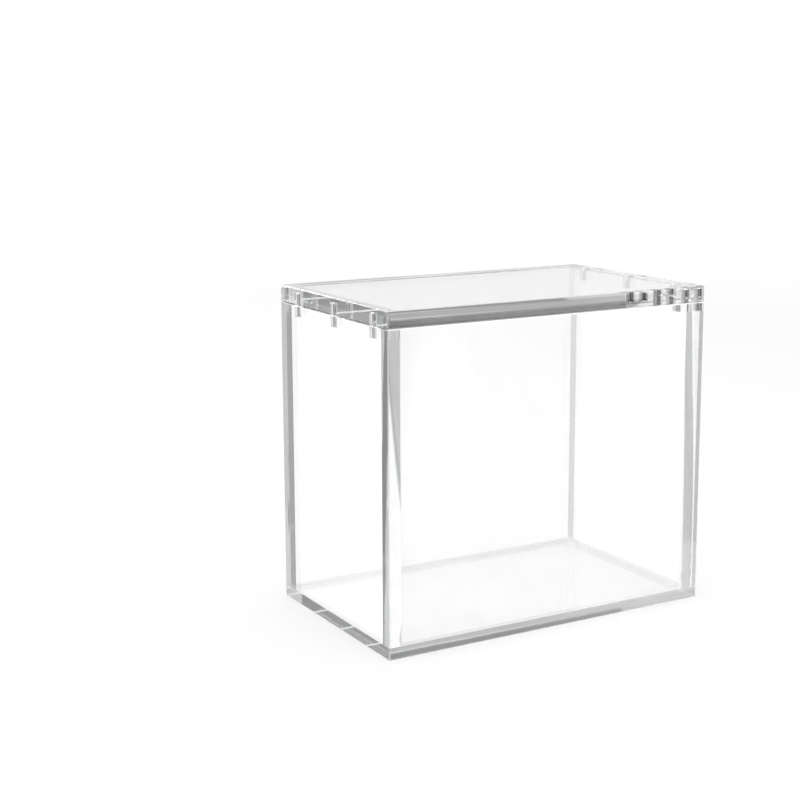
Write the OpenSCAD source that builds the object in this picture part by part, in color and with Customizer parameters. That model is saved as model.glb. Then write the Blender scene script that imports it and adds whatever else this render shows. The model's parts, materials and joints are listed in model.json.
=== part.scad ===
// Clear display case for a sealed box of trading card packs.
//
// Five clear sheets are bonded into an open-topped case: the front and back sheets run the
// full width, the side sheets stand between them, and all four stand on the base sheet.
// The lid is a loose sheet. Small magnets hold it down: one of each pair stands in the top
// edge of a side sheet, and its partner hangs in the underside of the lid above it.
//
// X is the width, Y runs from the front to the back and Z is up. The origin is the centre
// of the underside. All sizes are in millimetres.

/* [Inside of the case] */
// Clear width between the side sheets
inner_w = 145.5; // [60:0.5:300]
// Clear depth between the front and back sheets
inner_d = 87.5; // [60:0.5:200]
// Clear height from the base sheet to the top edges of the walls
inner_h = 131; // [30:0.5:300]

/* [Sheet thicknesses] */
// Side sheets, which hold the lower magnets
side_t = 7.4; // [6.6:0.1:12]
// Front and back sheets
face_t = 5.4; // [3:0.1:12]
// Base sheet
base_t = 5.4; // [3:0.1:12]
// Lid sheet, which holds the upper magnets
lid_t = 7.4; // [7:0.1:15]

/* [Edges and joints] */
// Bevel that breaks the sharp outer edges, measured along each face
edge_break = 0.4; // [0.1:0.05:1]
// Clear adhesive line between two bonded sheets
bond_gap = 0.05; // [0.02:0.01:0.2]
// Air gap that the sheets' unevenness leaves under the closed lid
lid_gap = 0.05; // [0.02:0.01:0.2]

/* [Magnets] */
// Diameter of a magnet
magnet_d = 5; // [2:0.1:5.4]
// Length of a magnet
magnet_h = 5; // [2:0.1:5.5]
// Bevel at the ends of a magnet
magnet_bevel = 0.25; // [0.1:0.05:0.4]
// Outside of the front or back sheet to the axis of the nearest magnet
magnet_inset = 14.7; // [12:0.1:25]
// Gap between a magnet and the wall of its pocket
pocket_gap = 0.1; // [0.05:0.01:0.15]
// Adhesive between a magnet and the blind end of its pocket
seat_gap = 0.05; // [0.02:0.01:0.1]
// Depth of a magnet's face below the face of the sheet that holds it
magnet_recess = 0.15; // [0.05:0.05:0.4]

/* [Hidden] */

// Outside of the case
outer_w = inner_w + 2 * side_t;
outer_d = inner_d + 2 * face_t;

// Heights
wall_z = base_t + bond_gap;
wall_top = base_t + inner_h;
wall_h = wall_top - wall_z;
lid_z = wall_top + lid_gap;

// The side sheets stop one adhesive line short of the front and back sheets
side_l = inner_d - 2 * bond_gap;

// Pockets are drilled past the face of their sheet, so that the cut is open
pocket_d = magnet_d + 2 * pocket_gap;
pocket_h = magnet_recess + magnet_h + seat_gap;
drill_past = 1;

// Magnet axes: on the middle of each side sheet, near the front, halfway and near the back
left = -1;
right = 1;
front = -1;
middle = 0;
back = 1;
magnet_x = (outer_w - side_t) / 2;
magnet_y = outer_d / 2 - magnet_inset;

clear = [0.86, 0.92, 0.94, 0.35];
nickel = [0.75, 0.76, 0.78];

// Facets round the pockets and the magnets
$fn = 64;

// Rectangle [0, 0] to [a, b] with its corners cut off at 45 degrees. cuts gives the cut at
// [0, 0], [a, 0], [a, b] and [0, b] in turn, and 0 leaves that corner square.
module cut_rectangle(a, b, cuts) {
    polygon(concat(
        cuts[0] > 0 ? [[0, cuts[0]], [cuts[0], 0]] : [[0, 0]],
        cuts[1] > 0 ? [[a - cuts[1], 0], [a, cuts[1]]] : [[a, 0]],
        cuts[2] > 0 ? [[a, b - cuts[2]], [a - cuts[2], b]] : [[a, b]],
        cuts[3] > 0 ? [[cuts[3], b], [0, b - cuts[3]]] : [[0, b]]
    ));
}

// Sheet [0, 0, 0] to size. plan bevels its upright edges, ends those along Y and sides
// those along X, each in the order of cut_rectangle, seen along -Z, +Y and -X.
module sheet(size, plan, ends, sides) {
    intersection() {
        linear_extrude(size.z)
            cut_rectangle(size.x, size.y, plan);
        translate([0, size.y, 0])
            rotate([90, 0, 0])
                linear_extrude(size.y)
                    cut_rectangle(size.x, size.z, ends);
        rotate([90, 0, 90])
            linear_extrude(size.x)
                cut_rectangle(size.y, size.z, sides);
    }
}

// Full-width sheet at the front of the case. Its rear face is bonded to the side sheets.
module face_sheet() {
    translate([-outer_w / 2, -outer_d / 2, wall_z])
        sheet(
            [outer_w, face_t, wall_h],
            [edge_break, edge_break, 0, 0],
            [0, 0, edge_break, edge_break],
            [0, 0, 0, edge_break]
        );
}

// Solid that drills a pocket depth deep, downwards into a face at the origin
module pocket_cut(depth) {
    translate([0, 0, -depth])
        cylinder(d = pocket_d, h = depth + drill_past);
}

// Places its children on the three magnet axes of one side
module on_magnet_axes(side) {
    for (station = [front, middle, back])
        translate([side * magnet_x, station * magnet_y, 0])
            children();
}

// Side sheet on the left of the case, drilled for its magnets
module side_sheet() {
    difference() {
        translate([-outer_w / 2, -side_l / 2, wall_z])
            sheet(
                [side_t, side_l, wall_h],
                [0, 0, 0, 0],
                [0, 0, 0, edge_break],
                [0, 0, 0, 0]
            );
        on_magnet_axes(left)
            translate([0, 0, wall_top])
                pocket_cut(pocket_h);
    }
}

// Magnet that stands on the origin
module magnet() {
    rotate_extrude()
        polygon([
            [0, 0],
            [magnet_d / 2 - magnet_bevel, 0],
            [magnet_d / 2, magnet_bevel],
            [magnet_d / 2, magnet_h - magnet_bevel],
            [magnet_d / 2 - magnet_bevel, magnet_h],
            [0, magnet_h]
        ]);
}

module base_panel() {
    color(clear)
        translate([-outer_w / 2, -outer_d / 2, 0])
            sheet(
                [outer_w, outer_d, base_t],
                [edge_break, edge_break, edge_break, edge_break],
                [edge_break, edge_break, 0, 0],
                [edge_break, edge_break, 0, 0]
            );
}

module front_panel() {
    color(clear)
        face_sheet();
}

module back_panel() {
    color(clear)
        mirror([0, 1, 0])
            face_sheet();
}

module left_panel() {
    color(clear)
        side_sheet();
}

module right_panel() {
    color(clear)
        mirror([1, 0, 0])
            side_sheet();
}

module lid_panel() {
    all_round = [edge_break, edge_break, edge_break, edge_break];
    color(clear)
        difference() {
            translate([-outer_w / 2, -outer_d / 2, lid_z])
                sheet([outer_w, outer_d, lid_t], all_round, all_round, all_round);
            for (side = [left, right])
                on_magnet_axes(side)
                    translate([0, 0, lid_z])
                        mirror([0, 0, 1])
                            pocket_cut(pocket_h);
        }
}

// Magnet in the top edge of a side sheet
module case_magnet(side, station) {
    color(nickel)
        translate([side * magnet_x, station * magnet_y, wall_top - magnet_recess - magnet_h])
            magnet();
}

// Magnet in the underside of the lid
module lid_magnet(side, station) {
    color(nickel)
        translate([side * magnet_x, station * magnet_y, lid_z + magnet_recess])
            magnet();
}

base_panel();
front_panel();
back_panel();
left_panel();
right_panel();
lid_panel();
case_magnet(left, front);  // case_magnet_left_front
case_magnet(left, middle);  // case_magnet_left_middle
case_magnet(left, back);  // case_magnet_left_back
case_magnet(right, front);  // case_magnet_right_front
case_magnet(right, middle);  // case_magnet_right_middle
case_magnet(right, back);  // case_magnet_right_back
lid_magnet(left, front);  // lid_magnet_left_front
lid_magnet(left, middle);  // lid_magnet_left_middle
lid_magnet(left, back);  // lid_magnet_left_back
lid_magnet(right, front);  // lid_magnet_right_front
lid_magnet(right, middle);  // lid_magnet_right_middle
lid_magnet(right, back);  // lid_magnet_right_back
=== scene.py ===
import json
import math

import bpy
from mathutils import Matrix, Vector

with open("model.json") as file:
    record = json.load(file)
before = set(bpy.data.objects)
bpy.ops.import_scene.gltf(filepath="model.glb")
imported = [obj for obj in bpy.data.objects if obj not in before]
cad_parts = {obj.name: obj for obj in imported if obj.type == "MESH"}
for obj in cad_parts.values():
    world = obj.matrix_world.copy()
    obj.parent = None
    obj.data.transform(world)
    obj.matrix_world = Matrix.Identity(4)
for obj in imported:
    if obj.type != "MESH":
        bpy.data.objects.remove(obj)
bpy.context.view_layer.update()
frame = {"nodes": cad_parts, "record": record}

scene = bpy.context.scene

# ---------------------------------------------------------------------------
# Camera: stands in front of the case, to its left and above it
# ---------------------------------------------------------------------------
CAMERA_PLACE = (-0.3705, -0.5769, 0.2292)
CAMERA_DOWN = 10.16  # degrees below the horizon
CAMERA_RIGHT = 30.77  # degrees from +Y towards +X

camera = bpy.data.objects.new("camera", bpy.data.cameras.new("camera"))
scene.collection.objects.link(camera)
scene.camera = camera
camera.location = CAMERA_PLACE
camera.rotation_euler = (math.radians(90 - CAMERA_DOWN), 0, math.radians(-CAMERA_RIGHT))
camera.data.sensor_width = 36
camera.data.lens = 70.0
camera.data.shift_x = -0.05
camera.data.shift_y = -0.04
camera.data.clip_start = 0.01
camera.data.clip_end = 50


# ---------------------------------------------------------------------------
# Node helpers
# ---------------------------------------------------------------------------
class Tree:
    """A node tree, with short calls that add nodes and join them."""

    def __init__(self, tree):
        self.tree = tree
        tree.nodes.clear()

    def add(self, kind, **settings):
        node = self.tree.nodes.new(kind)
        for name, value in settings.items():
            setattr(node, name, value)
        return node

    def link(self, source, target):
        self.tree.links.new(source, target)

    def feed(self, socket, value):
        """Links a socket to another, or sets it to a plain number."""
        if isinstance(value, bpy.types.NodeSocket):
            self.link(value, socket)
        else:
            socket.default_value = value

    def maths(self, operation, a, b=0.0, clamp=False):
        node = self.add("ShaderNodeMath", operation=operation, use_clamp=clamp)
        self.feed(node.inputs[0], a)
        self.feed(node.inputs[1], b)
        return node.outputs[0]

    def plus(self, a, b):
        return self.maths("ADD", a, b)

    def minus(self, a, b, clamp=False):
        return self.maths("SUBTRACT", a, b, clamp)

    def times(self, a, b):
        return self.maths("MULTIPLY", a, b)

    def over(self, a, b):
        """1 where a is greater than b, or else 0."""
        return self.maths("GREATER_THAN", a, b)

    def under(self, a, b):
        """1 where a is less than b, or else 0."""
        return self.maths("LESS_THAN", a, b)

    def least(self, a, b):
        return self.maths("MINIMUM", a, b)

    def most(self, a, b):
        return self.maths("MAXIMUM", a, b)

    def size(self, a):
        """The number without its sign."""
        return self.maths("ABSOLUTE", a)

    def map_range(self, value, low, high, to_low, to_high):
        """to_low at low and below, to_high at high and above, and straight in between."""
        node = self.add("ShaderNodeMapRange")
        self.feed(node.inputs[0], value)
        for i, number in enumerate((low, high, to_low, to_high)):
            node.inputs[1 + i].default_value = number
        return node.outputs[0]

    def mix(self, share, a, b):
        """a where share is 0, b where it is 1."""
        node = self.add("ShaderNodeMix", data_type="FLOAT")
        self.feed(node.inputs[0], share)
        self.feed(node.inputs[2], a)
        self.feed(node.inputs[3], b)
        return node.outputs[0]

    def split(self, vector):
        node = self.add("ShaderNodeSeparateXYZ")
        self.link(vector, node.inputs[0])
        return node.outputs

    def combine(self, x, y, z):
        node = self.add("ShaderNodeCombineXYZ")
        for socket, value in zip(node.inputs, (x, y, z)):
            self.feed(socket, value)
        return node.outputs[0]

    def vector(self, operation, a, b=None, scale=None):
        node = self.add("ShaderNodeVectorMath", operation=operation)
        self.feed(node.inputs[0], a)
        if b is not None:
            self.feed(node.inputs[1], b)
        if scale is not None:
            self.feed(node.inputs["Scale"], scale)
        return node.outputs["Value" if operation == "LENGTH" else "Vector"]

    def place(self):
        """The point on the piece, in metres."""
        return self.add("ShaderNodeTexCoord").outputs["Object"]

    def normal(self):
        return self.add("ShaderNodeNewGeometry").outputs["Normal"]

    def noise(self, coords, scale, detail, roughness=0.5):
        node = self.add("ShaderNodeTexNoise")
        self.link(coords, node.inputs["Vector"])
        node.inputs["Scale"].default_value = scale
        node.inputs["Detail"].default_value = detail
        node.inputs["Roughness"].default_value = roughness
        return node

    def glow(self, strength):
        node = self.add("ShaderNodeEmission")
        self.feed(node.inputs["Strength"], strength)
        return node

    def mix_shader(self, share, a, b):
        """Shader a where share is 0, b where it is 1."""
        node = self.add("ShaderNodeMixShader")
        self.feed(node.inputs[0], share)
        self.link(a.outputs[0], node.inputs[1])
        self.link(b.outputs[0], node.inputs[2])
        return node


def material(name):
    mat = bpy.data.materials.new(name)
    mat.use_nodes = True
    tree = Tree(mat.node_tree)
    out = tree.add("ShaderNodeOutputMaterial")
    return mat, tree, out


# ---------------------------------------------------------------------------
# Clear acrylic: flatness of the sheets. Lengths are in metres, leans in radians.
# ---------------------------------------------------------------------------
HALF_W, HALF_D = 0.0802, 0.0492  # half the case's width and depth
HALF_H, MID_Z = 0.0655, 0.0709  # half the walls' height, and the height of their middle
SIDE_END = 0.04372  # just past the ends of the side sheets
SIDE_BOW, FACE_BOW = 0.001, 0.0003  # how far the sheets swell out of flat
BOW_END = 0.0  # the side sheets bow in front of this share of the half depth
SAG = 0.45  # the swell is fullest this share of the half height below the middle
LEAN_LEFT, LEAN_RIGHT = 0.0125, -0.028  # turn of each side sheet halfway along it
RIPPLE_SCALE, RIPPLE = 55.0, 0.0015


def bowed_normal(t):
    """The normal of a sheet that is not quite flat: it swells, leans and ripples a little."""
    normal = t.normal()
    place = t.place()
    x, y, z = t.split(place)
    across = t.maths("DIVIDE", x, HALF_W)
    along = t.maths("DIVIDE", y, HALF_D)
    height = t.maths("DIVIDE", t.minus(z, MID_Z), HALF_H)
    sagging = t.maths("DIVIDE", t.plus(height, SAG), 1.0 + SAG)

    def fade(value):
        """1 in the middle, 0 at the ends."""
        return t.minus(1.0, t.times(value, value), clamp=True)

    def slope(value, share, bow, half):
        return t.times(t.times(value, share), -2 * bow / half)

    sagging_half = HALF_H * (1.0 + SAG)
    swell_y = slope(t.least(along, BOW_END), fade(sagging), SIDE_BOW, HALF_D)
    swell_z = slope(sagging, fade(along), SIDE_BOW, sagging_half)
    lean = t.plus(t.times(t.over(x, 0.0), LEAN_RIGHT - LEAN_LEFT), LEAN_LEFT)
    swell_y = t.plus(swell_y, t.times(lean, t.minus(1.0, along)))
    on_side = t.times(t.under(t.size(y), SIDE_END), t.under(t.size(height), 1.0))
    side = t.combine(0.0, t.times(swell_y, on_side), t.times(swell_z, on_side))

    face_x = slope(across, fade(sagging), FACE_BOW, HALF_W)
    face_z = slope(sagging, fade(across), FACE_BOW, sagging_half)
    face = t.combine(face_x, 0.0, face_z)

    normal_x, normal_y, _ = t.split(normal)
    bend = t.vector("SCALE", side, scale=normal_x)
    bend = t.vector("ADD", bend, t.vector("SCALE", face, scale=normal_y))
    ripple = t.noise(place, RIPPLE_SCALE, detail=1.0).outputs["Color"]
    shake = t.vector("SUBTRACT", ripple, (0.5, 0.5, 0.5))
    bend = t.vector("ADD", bend, t.vector("SCALE", shake, scale=RIPPLE))
    return t.vector("NORMALIZE", t.vector("SUBTRACT", normal, bend))


# ---------------------------------------------------------------------------
# Clear acrylic: painted shade on the long edges, and satin bevels
# ---------------------------------------------------------------------------
FACES_Y = 0.9  # a face is a long edge where its normal has more Y than this
WIPED_SCALE, WIPED_TONE = 90.0, 0.975

BASE_TOP = 0.00542  # between the base sheet and the walls
BASE_DARK, BASE_PALE = 0.58, 0.32  # painted shade, taken off the colour in the lower and upper half
BASE_DARK_TO, BASE_PALE_FROM = 0.0022, 0.0030
BASE_RIGHT = 0.75  # share of that on the right, from one X to the other
BASE_RIGHT_FROM, BASE_RIGHT_TO = 0.02, 0.06

LID_FOOT, LID_RIM = 0.13643, 0.1424  # the heights that get painted shade
LID_DARK, LID_PALE = 0.82, 0.40
LID_HALF, LID_SOFT = 0.1400, 0.0003  # where dark turns to pale, and half the width of the turn
LID_END, LID_END_SOFT = 0.040, 0.002  # X of the dark part's end at the height LID_END_Z
LID_END_Z, LID_SLANT = 0.1365, -2.5
LID_RIGHT = 0.5
LID_RIGHT_FROM, LID_RIGHT_TO = 0.045, 0.07

FLAT_FACE = 0.8  # a face is a bevel where no part of its normal reaches this
OUTSIDE_X, OUTSIDE_Y = 0.0793, 0.0434  # the outer bevels lie past these
BEVEL_ROUGH = 0.2

SHADOW_COLOUR = (0.96, 0.962, 0.962, 1)
INSIDE_COLOUR = (0.30, 0.33, 0.33, 1)
INSIDE_DENSITY = 2.9


def base_painted_shade(t, x, z, long_edge):
    """Painted shade: what the base sheet's long edges lose of their brightness, in place of
    the darker room they reflect.
    """
    depth = t.map_range(z, BASE_DARK_TO, BASE_PALE_FROM, BASE_DARK, BASE_PALE)
    right = t.map_range(x, BASE_RIGHT_FROM, BASE_RIGHT_TO, 1.0, BASE_RIGHT)
    return t.times(t.times(long_edge, t.under(z, BASE_TOP)), t.times(depth, right))


def lid_painted_shade(t, x, z, long_edge):
    """The same painted shade for the lid. Its dark lower half stops on the right, at a slant.
    """
    low = t.map_range(z, LID_HALF - LID_SOFT, LID_HALF + LID_SOFT, 1.0, 0.0)
    slant = t.plus(x, t.times(t.minus(z, LID_END_Z), LID_SLANT))
    low = t.times(
        low, t.map_range(slant, LID_END - LID_END_SOFT, LID_END + LID_END_SOFT, 1.0, 0.0)
    )
    depth = t.plus(LID_PALE, t.times(low, LID_DARK - LID_PALE))
    right = t.map_range(x, LID_RIGHT_FROM, LID_RIGHT_TO, 1.0, LID_RIGHT)
    painted_heights = t.times(t.over(z, LID_FOOT), t.under(z, LID_RIM))
    return t.times(t.times(long_edge, painted_heights), t.times(depth, right))


def bevel_roughness(t, place, normal):
    """Satin on the outer bevels, polished everywhere else."""
    x, y, _ = (t.size(part) for part in place)
    normal_x, normal_y, normal_z = (t.size(part) for part in normal)
    squareness = t.most(t.most(normal_x, normal_y), normal_z)
    outside = t.most(t.over(x, OUTSIDE_X), t.over(y, OUTSIDE_Y))
    return t.times(t.times(t.under(squareness, FLAT_FACE), outside), BEVEL_ROUGH)


def acrylic():
    mat, t, out = material("clear_acrylic")
    normal = t.split(t.normal())
    place = t.split(t.place())
    x, _, z = place
    long_edge = t.over(t.size(normal["Y"]), FACES_Y)

    wiped = t.noise(t.place(), WIPED_SCALE, detail=5.0, roughness=0.6).outputs[0]
    tone = t.map_range(wiped, 0.40, 0.75, 1.0, WIPED_TONE)
    # Painted shade: darker bands on the long edges of the base and the lid
    tone = t.minus(tone, base_painted_shade(t, x, z, long_edge))
    tone = t.minus(tone, lid_painted_shade(t, x, z, long_edge))

    glass = t.add("ShaderNodeBsdfPrincipled")
    t.link(t.combine(tone, tone, tone), glass.inputs["Base Color"])
    t.link(bevel_roughness(t, place, normal), glass.inputs["Roughness"])
    t.link(bowed_normal(t), glass.inputs["Normal"])
    glass.inputs["Transmission Weight"].default_value = 1.0
    glass.inputs["IOR"].default_value = 1.49

    # Lamps shine through the clear sheets instead of being blocked by them
    clear = t.add("ShaderNodeBsdfTransparent")
    clear.inputs["Color"].default_value = SHADOW_COLOUR
    shadow_ray = t.add("ShaderNodeLightPath").outputs["Is Shadow Ray"]
    t.link(t.mix_shader(shadow_ray, glass, clear).outputs[0], out.inputs["Surface"])

    inside = t.add("ShaderNodeVolumeAbsorption")
    inside.inputs["Color"].default_value = INSIDE_COLOUR
    inside.inputs["Density"].default_value = INSIDE_DENSITY
    t.link(inside.outputs[0], out.inputs["Volume"])
    return mat


# ---------------------------------------------------------------------------
# Nickel plating of the magnets
# ---------------------------------------------------------------------------
PATCH_SCALE = 900.0
SCRATCH_SCALE = (300.0, 300.0, 9000.0)
NICKEL_DULL, NICKEL_BRIGHT = 0.63, 0.70
NICKEL_TINT = (1.0, 0.992, 0.98)
PATCH_SMOOTH, PATCH_ROUGH, SCRATCH_ROUGH = 0.05, 0.11, 0.08


def nickel():
    """Bright plating with fine rubbed patches, and scratches round the magnet."""
    mat, t, out = material("magnet_nickel")
    place = t.place()
    metal = t.add("ShaderNodeBsdfPrincipled")
    metal.inputs["Metallic"].default_value = 1.0

    patches = t.noise(place, PATCH_SCALE, detail=4.0, roughness=0.6).outputs[0]
    stretch = t.add("ShaderNodeMapping")
    stretch.inputs["Scale"].default_value = SCRATCH_SCALE
    t.link(place, stretch.inputs["Vector"])
    scratches = t.noise(stretch.outputs[0], 1.0, detail=2.0).outputs[0]

    tone = t.map_range(patches, 0.30, 0.70, NICKEL_DULL, NICKEL_BRIGHT)
    colour = t.combine(*(t.times(tone, share) for share in NICKEL_TINT))
    t.link(colour, metal.inputs["Base Color"])
    rubbed = t.map_range(patches, 0.35, 0.75, PATCH_SMOOTH, PATCH_ROUGH)
    scratched = t.map_range(scratches, 0.55, 0.75, 0.0, SCRATCH_ROUGH)
    t.link(t.plus(rubbed, scratched), metal.inputs["Roughness"])
    t.link(metal.outputs[0], out.inputs["Surface"])
    return mat


dressed = {"clear_acrylic": acrylic(), "magnet_nickel": nickel()}
slots = {part["node"]: part["material_slot"] for part in frame["record"]["subparts"]}
for name, node in frame["nodes"].items():
    node.data.materials.clear()
    node.data.materials.append(dressed[slots[name]])


# ---------------------------------------------------------------------------
# Studio: the floor
# ---------------------------------------------------------------------------
FLOOR_RADIUS, FLOOR_Z, FLOOR_SIDES = 8.0, -0.0002, 96
FLOOR_COLOUR = (0.8, 0.8, 0.8, 1)
FLOOR_LIT = 0.79  # what the lamps give the floor, and its own glow leaves out
SHADOW_FROM, SHADOW_TO = 0.35, 1.3  # the shadow fades between these distances
STRIP = 1.2  # level of the painted light on the strip of floor behind the case, a glow seen only by mirrored rays
STRIP_FRONT, STRIP_FADE, STRIP_BACK = 0.0491, 0.0612, 0.0665
PER_FACE = 0.02  # what white gains for each face that it is seen through


def ray_kinds(t):
    """Three numbers for the ray.

    Shown is 1 where the ray shows the studio to the camera. Mirrored is 1 once a face has
    turned the ray back. White is the level of white, seen straight or through sheets.
    """
    rays = t.add("ShaderNodeLightPath")
    shown = t.most(rays.outputs["Is Camera Ray"], rays.outputs["Is Glossy Ray"])
    shown = t.most(shown, rays.outputs["Is Transmission Ray"])
    mirrored = t.least(rays.outputs["Glossy Depth"], 1.0)
    white = t.plus(1.0, t.times(rays.outputs["Transmission Depth"], PER_FACE))
    return shown, mirrored, white


def floor_material():
    """White and matt, with a soft shadow by the case.

    Mirrored rays pass through to the world's studio, apart from the strip behind the case,
    which glows for them as painted light.
    """
    mat, t, out = material("floor_white")
    shown, mirrored, white = ray_kinds(t)
    place = t.place()

    matt = t.add("ShaderNodeBsdfDiffuse")
    matt.inputs["Color"].default_value = FLOOR_COLOUR
    near_glow = t.glow(t.times(shown, t.minus(white, FLOOR_LIT)))
    near = t.add("ShaderNodeAddShader")
    t.link(matt.outputs[0], near.inputs[0])
    t.link(near_glow.outputs[0], near.inputs[1])
    far = t.map_range(t.vector("LENGTH", place), SHADOW_FROM, SHADOW_TO, 0.0, 1.0)
    ground = t.mix_shader(t.times(shown, far), near, t.glow(white))

    y = t.split(place)["Y"]
    # Painted light: the strip of floor just behind the case glows at STRIP for mirrored rays
    strip = t.map_range(y, STRIP_FADE, STRIP_BACK, 1.0, 0.0)
    strip = t.times(strip, t.over(y, STRIP_FRONT))
    through = t.add("ShaderNodeBsdfTransparent")
    studio = t.mix_shader(strip, through, t.glow(STRIP))

    shade = t.mix_shader(t.times(shown, mirrored), ground, studio)
    t.link(shade.outputs[0], out.inputs["Surface"])
    return mat


def disc(name, radius, z, count, mat):
    mesh = bpy.data.meshes.new(name)
    turns = [2 * math.pi * i / count for i in range(count)]
    points = [(radius * math.cos(turn), radius * math.sin(turn), z) for turn in turns]
    mesh.from_pydata(points, [], [list(range(count))])
    obj = bpy.data.objects.new(name, mesh)
    scene.collection.objects.link(obj)
    mesh.materials.append(mat)


disc("floor", FLOOR_RADIUS, FLOOR_Z, FLOOR_SIDES, floor_material())

# ---------------------------------------------------------------------------
# Studio: the world. Straight rays find white, and mirrored rays a grey room.
# ---------------------------------------------------------------------------
# Levels of the room, where 1 is white
ROOM = 0.76
BRIGHT = 0.85  # added behind the case on the left
WALL = 0.15  # added in a band above the horizon
HIGH = 0.6  # added far above and far below the horizon
SCREEN = 0.52  # taken off at a narrow screen to the right of the camera
DARK = 0.65  # taken off round the camera
ROOM_LEAST, ROOM_MOST = 0.05, 1.4
AROUND = 0.70  # what the floor and other matt surfaces get from the world

# Bearings from +Y towards +X in degrees: the middle, where the fade starts and where it ends
BRIGHT_AT, BRIGHT_IN, BRIGHT_OUT = -41, 23, 40
SCREEN_AT, SCREEN_IN, SCREEN_OUT = 152.4, 1.8, 2.6
DARK_AT, DARK_IN, DARK_OUT = -150, 20, 34

# Heights, as the Z of the ray's direction: where each fade starts and ends
WALL_FOOT = (0.04, 0.10)
WALL_HEAD = (0.32, 0.40)
HIGH_FADE = (0.40, 0.60)


def studio_world():
    world = bpy.data.worlds.new("studio")
    world.use_nodes = True
    t = Tree(world.node_tree)
    x, y, up = t.split(t.add("ShaderNodeTexCoord").outputs["Generated"])
    bearing = t.maths("ARCTAN2", x, y)

    def patch(at, inner, outer, level):
        """The level near one bearing, and 0 further than outer from it."""
        turn = t.size(t.minus(bearing, math.radians(at)))
        turn = t.least(turn, t.minus(2 * math.pi, turn))
        return t.map_range(turn, math.radians(inner), math.radians(outer), level, 0.0)

    high = t.map_range(t.size(up), *HIGH_FADE, 0.0, HIGH)
    wall = t.minus(
        t.map_range(up, *WALL_FOOT, 0.0, WALL), t.map_range(up, *WALL_HEAD, 0.0, WALL)
    )
    room = t.plus(ROOM, patch(BRIGHT_AT, BRIGHT_IN, BRIGHT_OUT, BRIGHT))
    room = t.plus(t.plus(room, high), wall)
    room = t.minus(room, patch(SCREEN_AT, SCREEN_IN, SCREEN_OUT, SCREEN))
    room = t.minus(room, patch(DARK_AT, DARK_IN, DARK_OUT, DARK))
    room = t.least(t.most(room, ROOM_LEAST), ROOM_MOST)

    shown, mirrored, white = ray_kinds(t)
    straight = t.mix(shown, AROUND, white)
    sky = t.add("ShaderNodeBackground")
    sky.inputs["Color"].default_value = (1, 1, 1, 1)
    t.link(t.mix(t.times(shown, mirrored), straight, room), sky.inputs["Strength"])
    t.link(sky.outputs[0], t.add("ShaderNodeOutputWorld").inputs["Surface"])
    return world


scene.world = studio_world()

# ---------------------------------------------------------------------------
# Studio: the lamps
# ---------------------------------------------------------------------------
LAMP_AIM = (0, 0, 0.06)
BOUNCES = 40


def soft_light(name, place, size, power):
    data = bpy.data.lights.new(name, "AREA")
    data.shape = "DISK"
    data.size = size
    data.energy = power
    obj = bpy.data.objects.new(name, data)
    scene.collection.objects.link(obj)
    obj.location = place
    aim = Vector(LAMP_AIM) - Vector(place)
    obj.rotation_euler = aim.to_track_quat("-Z", "Y").to_euler()
    obj.visible_camera = False
    return obj


soft_light("overhead", (0.0, -0.05, 1.35), 1.0, 6)
rim = soft_light("rim", (-0.25, 1.35, 0.80), 0.34, 2.2)
rim.visible_transmission = False  # or it shows inside the sheets as white blobs

# Light that runs inside a sheet turns back off its faces many times before it leaves
scene.cycles.max_bounces = BOUNCES
scene.cycles.glossy_bounces = BOUNCES
scene.cycles.transmission_bounces = BOUNCES

scene.view_settings.view_transform = "Standard"
